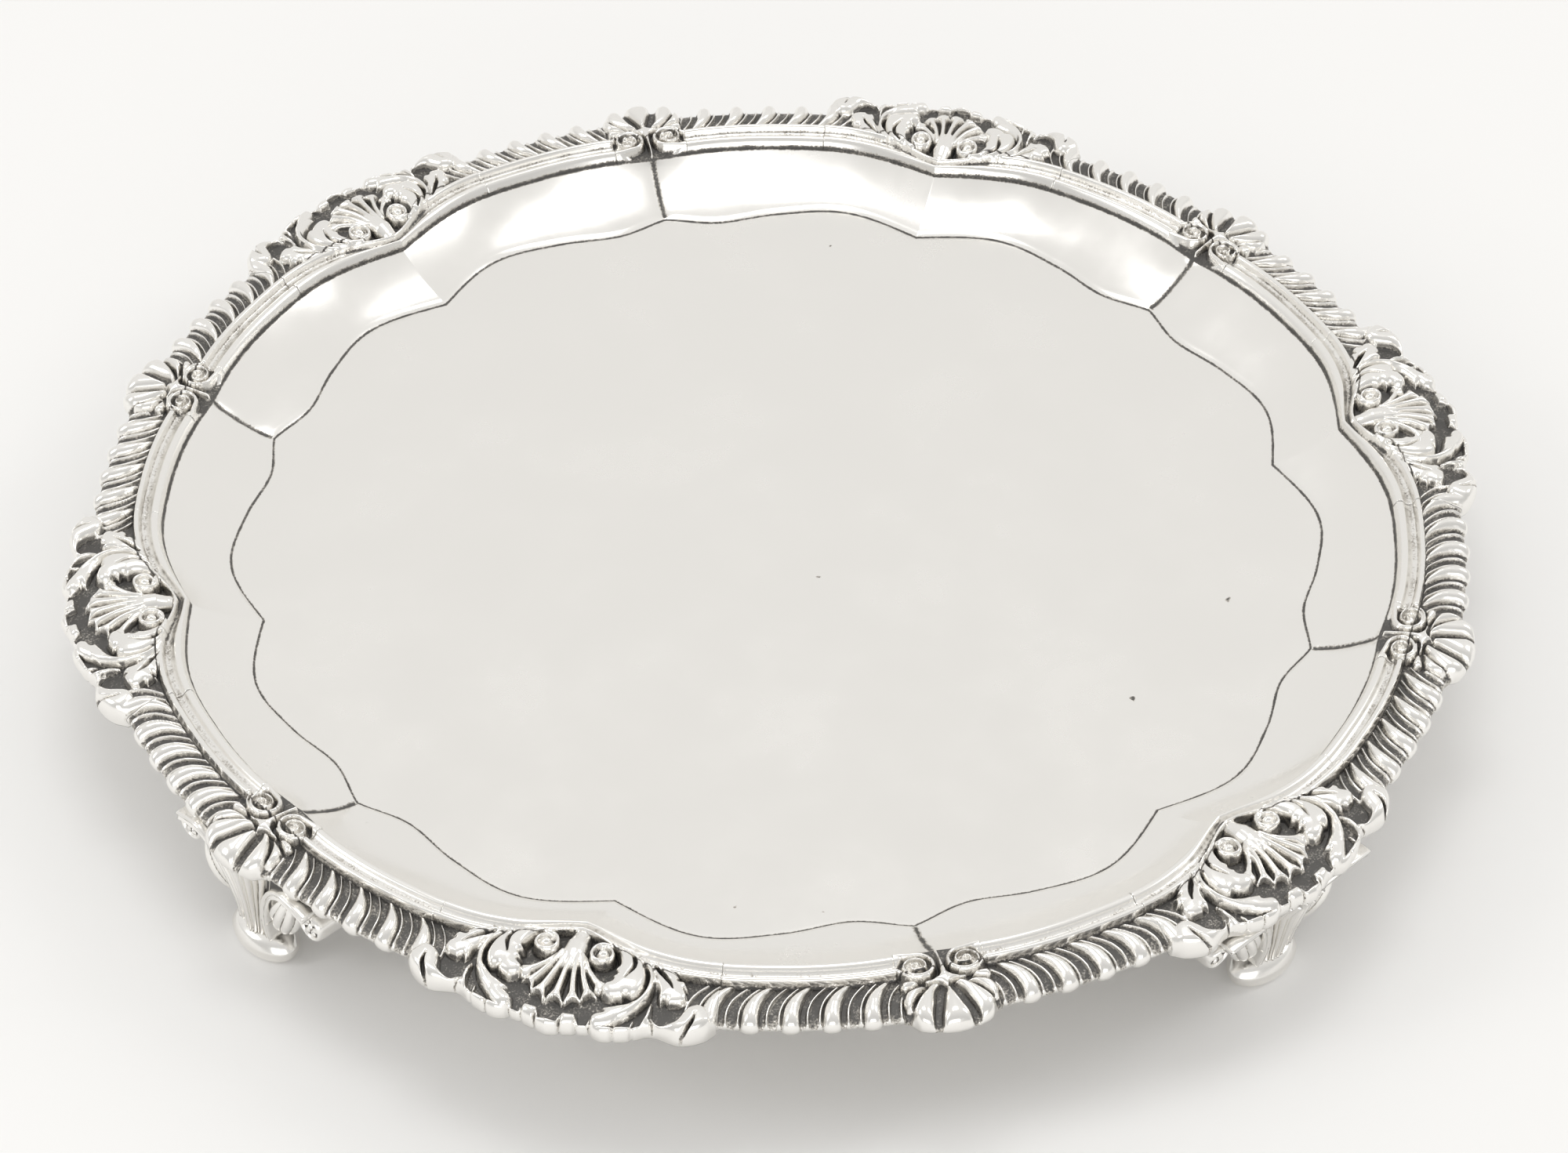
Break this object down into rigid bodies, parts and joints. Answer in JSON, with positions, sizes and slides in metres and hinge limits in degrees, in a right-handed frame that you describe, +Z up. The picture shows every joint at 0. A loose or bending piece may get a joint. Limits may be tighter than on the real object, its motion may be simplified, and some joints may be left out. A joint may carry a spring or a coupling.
{
  "type": "salver",
  "caption": "Round footed silver salver: flat field, wavy raised wall, cast border of shells, leaves and gadroons, scroll bracket feet on oval pads.",
  "frame": {"origin": "on the surface the salver stands on, under the centre of the tray", "axes": "+Z up, square to the field; the four feet stand on the X and Y axes; small shells at 0, 60, 120 ... degrees from +X and leaf castings at 30, 90, 150 ... degrees"},
  "size_m": [0.3212, 0.3284, 0.0368],
  "materials": {
    "sheet_silver": "polished sterling silver, faintly brushed by wear, dark tarnish lines in the creases",
    "border_silver": "polished cast sterling silver with dark oxidised recesses",
    "foot_silver": "polished cast sterling silver with dark oxidised recesses"
  },
  "bodies": {
    "root": {"foot_bracket_1": "foot_silver", "foot_bracket_2": "foot_silver", "foot_bracket_3": "foot_silver", "foot_bracket_4": "foot_silver", "foot_pad_1": "foot_silver", "foot_pad_2": "foot_silver", "foot_pad_3": "foot_silver", "foot_pad_4": "foot_silver", "gadroon_strip_01": "border_silver", "gadroon_strip_02": "border_silver", "gadroon_strip_03": "border_silver", "gadroon_strip_04": "border_silver", "gadroon_strip_05": "border_silver", "gadroon_strip_06": "border_silver", "gadroon_strip_07": "border_silver", "gadroon_strip_08": "border_silver", "gadroon_strip_09": "border_silver", "gadroon_strip_10": "border_silver", "gadroon_strip_11": "border_silver", "gadroon_strip_12": "border_silver", "leaf_casting_1": "border_silver", "leaf_casting_2": "border_silver", "leaf_casting_3": "border_silver", "leaf_casting_4": "border_silver", "leaf_casting_5": "border_silver", "leaf_casting_6": "border_silver", "rim_moulding_01": "border_silver", "rim_moulding_02": "border_silver", "rim_moulding_03": "border_silver", "rim_moulding_04": "border_silver", "rim_moulding_05": "border_silver", "rim_moulding_06": "border_silver", "rim_moulding_07": "border_silver", "rim_moulding_08": "border_silver", "rim_moulding_09": "border_silver", "rim_moulding_10": "border_silver", "rim_moulding_11": "border_silver", "rim_moulding_12": "border_silver", "small_shell_1": "border_silver", "small_shell_2": "border_silver", "small_shell_3": "border_silver", "small_shell_4": "border_silver", "small_shell_5": "border_silver", "small_shell_6": "border_silver", "tray_plate": "sheet_silver"}
  },
  "joints": []
}
